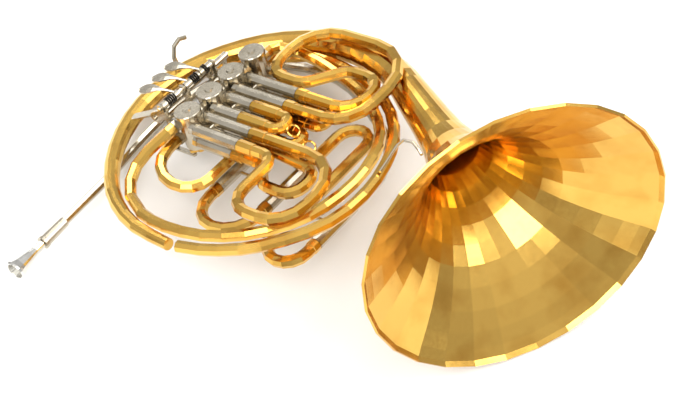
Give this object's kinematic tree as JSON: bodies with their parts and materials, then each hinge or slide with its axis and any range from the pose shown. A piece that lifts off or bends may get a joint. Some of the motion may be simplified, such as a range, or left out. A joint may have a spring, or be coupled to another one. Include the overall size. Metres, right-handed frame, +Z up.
{
  "type": "double french horn",
  "caption": "Double french horn lying on its back: coiled brass tubing, large flared bell, rotary valves with levers and links, pull-out slides and a removable mouthpiece.",
  "frame": {"origin": "centre of the bounding box on the table under the horn", "axes": "+Z up from the table, the valve caps facing up; the bell's mouth opens towards -Y"},
  "size_m": [0.5994, 0.4702, 0.2989],
  "materials": {
    "lacquered_brass": "polished and lacquered",
    "nickel_silver": "polished",
    "silver_plate": "polished",
    "spring_steel": "dark"
  },
  "bodies": {
    "horn": {"bb_branch": "lacquered_brass", "bell": "lacquered_brass", "bell_brace": "nickel_silver", "bell_branch": "lacquered_brass", "body_coil": "lacquered_brass", "change_valve_feed": "nickel_silver", "f_coil": "lacquered_brass", "finger_axle": "nickel_silver", "leadpipe": "nickel_silver", "lever_bracket": "nickel_silver", "lever_spring_1": "spring_steel", "lever_spring_2": "spring_steel", "lever_spring_3": "spring_steel", "little_finger_hook": "nickel_silver", "main_tuning_sleeves": "nickel_silver", "mouthpiece_receiver": "nickel_silver", "second_tuning_sleeves": "nickel_silver", "thumb_axle": "nickel_silver", "tuning_loop": "lacquered_brass", "v1_bb_sleeves": "nickel_silver", "v1_f_sleeves": "nickel_silver", "v2_bb_sleeves": "nickel_silver", "v2_f_sleeves": "nickel_silver", "v3_bb_sleeves": "nickel_silver", "v3_f_sleeves": "nickel_silver", "valve_casing_1": "nickel_silver", "valve_casing_2": "nickel_silver", "valve_casing_3": "nickel_silver", "valve_casing_4": "nickel_silver"},
    "finger_lever_1": {"finger_lever_1": "nickel_silver"},
    "finger_lever_2": {"finger_lever_2": "nickel_silver"},
    "finger_lever_3": {"finger_lever_3": "nickel_silver"},
    "thumb_lever": {"thumb_lever": "nickel_silver"},
    "link_1": {"link_1": "nickel_silver"},
    "link_2": {"link_2": "nickel_silver"},
    "link_3": {"link_3": "nickel_silver"},
    "link_4": {"link_4": "nickel_silver"},
    "rotor_1": {"rotor_1": "lacquered_brass"},
    "rotor_2": {"rotor_2": "lacquered_brass"},
    "rotor_3": {"rotor_3": "lacquered_brass"},
    "rotor_4": {"rotor_4": "lacquered_brass"},
    "valve_cap_1": {"valve_cap_1": "nickel_silver"},
    "valve_cap_2": {"valve_cap_2": "nickel_silver"},
    "valve_cap_3": {"valve_cap_3": "nickel_silver"},
    "valve_cap_4": {"valve_cap_4": "nickel_silver"},
    "v1_f_slide": {"v1_f_slide": "lacquered_brass"},
    "v2_f_slide": {"v2_f_slide": "lacquered_brass"},
    "v3_f_slide": {"v3_f_slide": "lacquered_brass"},
    "v1_bb_slide": {"v1_bb_slide": "lacquered_brass"},
    "v2_bb_slide": {"v2_bb_slide": "lacquered_brass"},
    "v3_bb_slide": {"v3_bb_slide": "lacquered_brass"},
    "main_tuning_slide": {"main_tuning_slide": "lacquered_brass"},
    "second_tuning_slide": {"second_tuning_slide": "lacquered_brass"},
    "mouthpiece": {"mouthpiece": "silver_plate"}
  },
  "joints": [
    {"name": "finger_lever_1_press", "type": "hinge", "parent": "horn", "child": "finger_lever_1", "pos_m": [-0.07539, 0.14959, 0.078], "axis": [-0.8651, -0.4877, 0.1171], "range_deg": [0, 13.54], "stiffness_Nm_per_rad": 0.06, "springref_deg": -17.19},
    {"name": "link_1_pivot", "type": "hinge", "parent": "finger_lever_1", "child": "link_1", "pos_m": [-0.0913, 0.12746, 0.0247], "axis": [-0.8651, -0.4877, 0.1171], "range_deg": [-13.55, 0.01]},
    {"name": "rotor_1_turn", "type": "hinge", "parent": "horn", "child": "rotor_1", "pos_m": [-0.07046, 0.11048, 0.05058], "axis": [-0.058, 0.3292, 0.9425], "range_deg": [-0.05, 90.05]},
    {"name": "valve_cap_1_unscrew", "type": "hinge", "parent": "horn", "child": "valve_cap_1", "pos_m": [-0.07237, 0.12134, 0.08169], "axis": [-0.058, 0.3292, 0.9425], "continuous": true},
    {"name": "finger_lever_2_press", "type": "hinge", "parent": "horn", "child": "finger_lever_2", "pos_m": [-0.05809, 0.15934, 0.07566], "axis": [-0.8651, -0.4877, 0.1171], "range_deg": [0, 13.54], "stiffness_Nm_per_rad": 0.06, "springref_deg": -17.19},
    {"name": "link_2_pivot", "type": "hinge", "parent": "finger_lever_2", "child": "link_2", "pos_m": [-0.06146, 0.14428, 0.02065], "axis": [-0.8651, -0.4877, 0.1171], "range_deg": [-13.55, 0.01]},
    {"name": "rotor_2_turn", "type": "hinge", "parent": "horn", "child": "rotor_2", "pos_m": [-0.04061, 0.1273, 0.04654], "axis": [-0.058, 0.3292, 0.9425], "range_deg": [-0.05, 90.05]},
    {"name": "valve_cap_2_unscrew", "type": "hinge", "parent": "horn", "child": "valve_cap_2", "pos_m": [-0.04253, 0.13816, 0.07765], "axis": [-0.058, 0.3292, 0.9425], "continuous": true},
    {"name": "finger_lever_3_press", "type": "hinge", "parent": "horn", "child": "finger_lever_3", "pos_m": [-0.04079, 0.1691, 0.07332], "axis": [-0.8651, -0.4877, 0.1171], "range_deg": [0, 13.54], "stiffness_Nm_per_rad": 0.06, "springref_deg": -17.19},
    {"name": "link_3_pivot", "type": "hinge", "parent": "finger_lever_3", "child": "link_3", "pos_m": [-0.03161, 0.16111, 0.01661], "axis": [-0.8651, -0.4877, 0.1171], "range_deg": [-13.55, 0.01]},
    {"name": "rotor_3_turn", "type": "hinge", "parent": "horn", "child": "rotor_3", "pos_m": [-0.01077, 0.14413, 0.0425], "axis": [-0.058, 0.3292, 0.9425], "range_deg": [-0.05, 90.05]},
    {"name": "valve_cap_3_unscrew", "type": "hinge", "parent": "horn", "child": "valve_cap_3", "pos_m": [-0.01268, 0.15499, 0.07361], "axis": [-0.058, 0.3292, 0.9425], "continuous": true},
    {"name": "thumb_lever_press", "type": "hinge", "parent": "horn", "child": "thumb_lever", "pos_m": [-0.07644, 0.15865, 0.05674], "axis": [-0.8651, -0.4877, 0.1171], "range_deg": [0, 19.25], "stiffness_Nm_per_rad": 0.06, "springref_deg": -17.19},
    {"name": "link_4_pivot", "type": "hinge", "parent": "thumb_lever", "child": "link_4", "pos_m": [-0.00899, 0.18966, 0.00804], "axis": [-0.8651, -0.4877, 0.1171], "range_deg": [-19.26, 0.01]},
    {"name": "rotor_4_turn", "type": "hinge", "parent": "horn", "child": "rotor_4", "pos_m": [0.01908, 0.16095, 0.03846], "axis": [-0.058, 0.3292, 0.9425], "range_deg": [-0.05, 90.05]},
    {"name": "valve_cap_4_unscrew", "type": "hinge", "parent": "horn", "child": "valve_cap_4", "pos_m": [0.01717, 0.17181, 0.06957], "axis": [-0.058, 0.3292, 0.9425], "continuous": true},
    {"name": "v1_f_slide_pull", "type": "slide", "parent": "horn", "child": "v1_f_slide", "axis": [0.4982, -0.8086, 0.313], "range_m": [0, 0.04]},
    {"name": "v2_f_slide_pull", "type": "slide", "parent": "horn", "child": "v2_f_slide", "axis": [0.4982, -0.8086, 0.313], "range_m": [0, 0.025]},
    {"name": "v3_f_slide_pull", "type": "slide", "parent": "horn", "child": "v3_f_slide", "axis": [0.4982, -0.8086, 0.313], "range_m": [0, 0.03]},
    {"name": "v1_bb_slide_pull", "type": "slide", "parent": "horn", "child": "v1_bb_slide", "axis": [0.4982, -0.8086, 0.313], "range_m": [0, 0.018]},
    {"name": "v2_bb_slide_pull", "type": "slide", "parent": "horn", "child": "v2_bb_slide", "axis": [0.4982, -0.8086, 0.313], "range_m": [0, 0.02]},
    {"name": "v3_bb_slide_pull", "type": "slide", "parent": "horn", "child": "v3_bb_slide", "axis": [0.4982, -0.8086, 0.313], "range_m": [0, 0.025]},
    {"name": "main_tuning_slide_pull", "type": "slide", "parent": "horn", "child": "main_tuning_slide", "axis": [-0.8651, -0.4877, 0.1171], "range_m": [0, 0.038]},
    {"name": "second_tuning_slide_pull", "type": "slide", "parent": "horn", "child": "second_tuning_slide", "axis": [-0.8651, -0.4877, 0.1171], "range_m": [0, 0.038]},
    {"name": "mouthpiece_pull", "type": "slide", "parent": "horn", "child": "mouthpiece", "axis": [-0.8294, -0.5413, 0.138], "range_m": [0, 0.024]}
  ],
  "couplings": [
    {"joint": "link_1_pivot", "follows": "finger_lever_1_press", "ratio": -1},
    {"joint": "rotor_1_turn", "follows": "finger_lever_1_press", "ratio": 6.6489},
    {"joint": "link_2_pivot", "follows": "finger_lever_2_press", "ratio": -1},
    {"joint": "rotor_2_turn", "follows": "finger_lever_2_press", "ratio": 6.6489},
    {"joint": "link_3_pivot", "follows": "finger_lever_3_press", "ratio": -1},
    {"joint": "rotor_3_turn", "follows": "finger_lever_3_press", "ratio": 6.6489},
    {"joint": "link_4_pivot", "follows": "thumb_lever_press", "ratio": -1},
    {"joint": "rotor_4_turn", "follows": "thumb_lever_press", "ratio": 4.6744}
  ]
}
